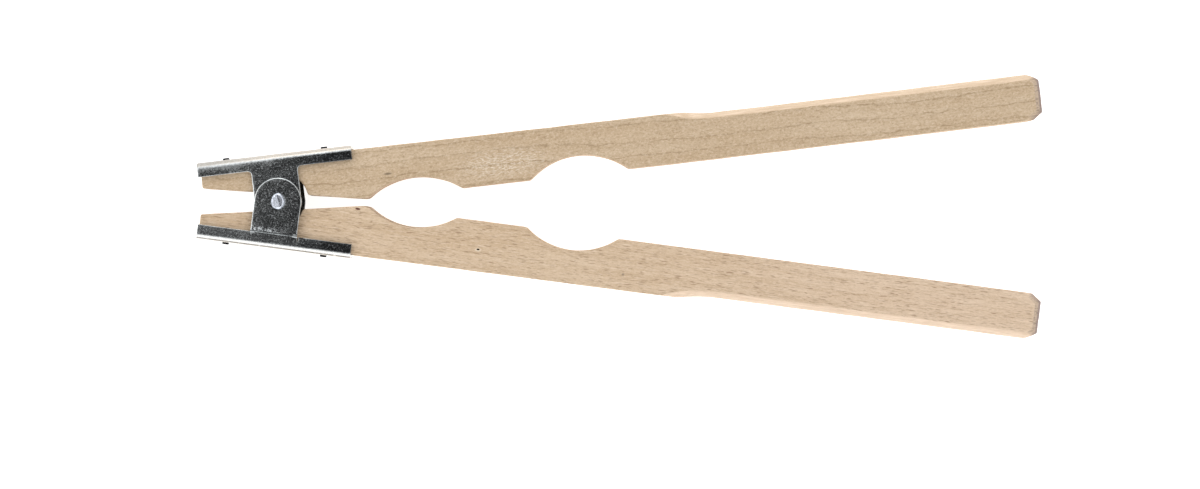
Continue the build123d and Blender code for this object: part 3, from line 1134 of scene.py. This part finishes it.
nail_dice = random.Random(12)
for side, body in (("upper", "upper_half"), ("lower", "lower_half")):
    upper = side == "upper"
    arm = make_arm(f"{side}_arm_wood", upper, hardwood[side])
    settle(arm, body, f"{side}_arm")
    bracket = make_bracket(f"{side}_bracket_sheet", upper, plated[side])
    settle(bracket, body, f"{side}_bracket")
    for end, along in (("tail", TAIL_NAIL), ("handle", HANDLE_NAIL)):
        nail = make_nail(f"{side}_{end}_nail_wire", upper, along, nail_metal, nail_dice)
        settle(nail, body, f"{side}_{end}_nail")

settle(make_rivet("pivot_rivet_peened", rivet_metal), "lower_half", "pivot_rivet")
settle(make_sleeve("spacer_sleeve_tube", sleeve_metal), "lower_half", "spacer_sleeve")
spring = make_spring("torsion_spring_coil", wire_metal)
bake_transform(spring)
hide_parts("torsion_spring")


# ---------------------------------------------------------------- floor, lights and camera


def make_floor():
    size = 3.0
    mesh = bpy.data.meshes.new("table_top")
    corners = [(-size, -size, 0), (size, -size, 0), (size, size, 0), (-size, size, 0)]
    mesh.from_pydata(corners, [], [(0, 1, 2, 3)])
    mesh.materials.append(floor_material())
    made = bpy.data.objects.new("table_top", mesh)
    bpy.context.scene.collection.objects.link(made)


def make_light(name, place, size, power):
    """A soft panel aimed at the middle of the holder."""
    holder_middle = Vector((0.09, -0.01, 0.01))
    data = bpy.data.lights.new(name, "AREA")
    data.shape = "RECTANGLE"
    data.size, data.size_y = size
    data.energy = power
    light = bpy.data.objects.new(name, data)
    light.location = place
    aim = holder_middle - Vector(place)
    light.rotation_euler = aim.to_track_quat("-Z", "Y").to_euler()
    bpy.context.scene.collection.objects.link(light)


def make_camera():
    """Looks straight down on the holder, a little to the handle side of the notches."""
    view_width = 0.320
    view_middle = (0.0858, -0.0115)
    distance = 1.30
    data = bpy.data.cameras.new("camera")
    data.sensor_width = 36.0
    data.lens = data.sensor_width * distance / view_width
    data.clip_start = 0.01
    camera = bpy.data.objects.new("camera", data)
    face = (MIDDLE + HALF_WOOD) * MM
    camera.location = (*view_middle, face + distance)
    bpy.context.scene.collection.objects.link(camera)
    bpy.context.scene.camera = camera


def make_world():
    """A white light tent, open and dark above the camera: black within 14 degrees of straight up,
    and white from 36 degrees."""
    world = bpy.data.worlds.new("studio")
    world.use_nodes = True
    tree = world.node_tree
    background = tree.nodes["Background"]
    direction = tree.nodes.new("ShaderNodeTexCoord")
    separate = tree.nodes.new("ShaderNodeSeparateXYZ")
    tree.links.new(direction.outputs["Generated"], separate.inputs[0])
    opening = tree.nodes.new("ShaderNodeMapRange")
    opening.interpolation_type = "SMOOTHSTEP"
    opening.inputs["From Min"].default_value = math.cos(math.radians(36))
    opening.inputs["From Max"].default_value = math.cos(math.radians(14))
    opening.inputs["To Min"].default_value = 1.12
    opening.inputs["To Max"].default_value = 0.03
    tree.links.new(separate.outputs[2], opening.inputs["Value"])
    tree.links.new(opening.outputs[0], background.inputs["Strength"])
    background.inputs["Color"].default_value = (1.0, 1.0, 1.0, 1.0)
    bpy.context.scene.world = world
    bpy.context.scene.view_settings.view_transform = "Standard"


make_floor()
make_light("panel_left", (-1.1, 0.2, 0.7), (0.9, 1.2), 3)
make_light("panel_back", (0.1, 1.2, 0.7), (1.4, 0.8), 4)
make_light("panel_front", (0.1, -1.2, 0.7), (1.4, 0.8), 3)
make_camera()
make_world()
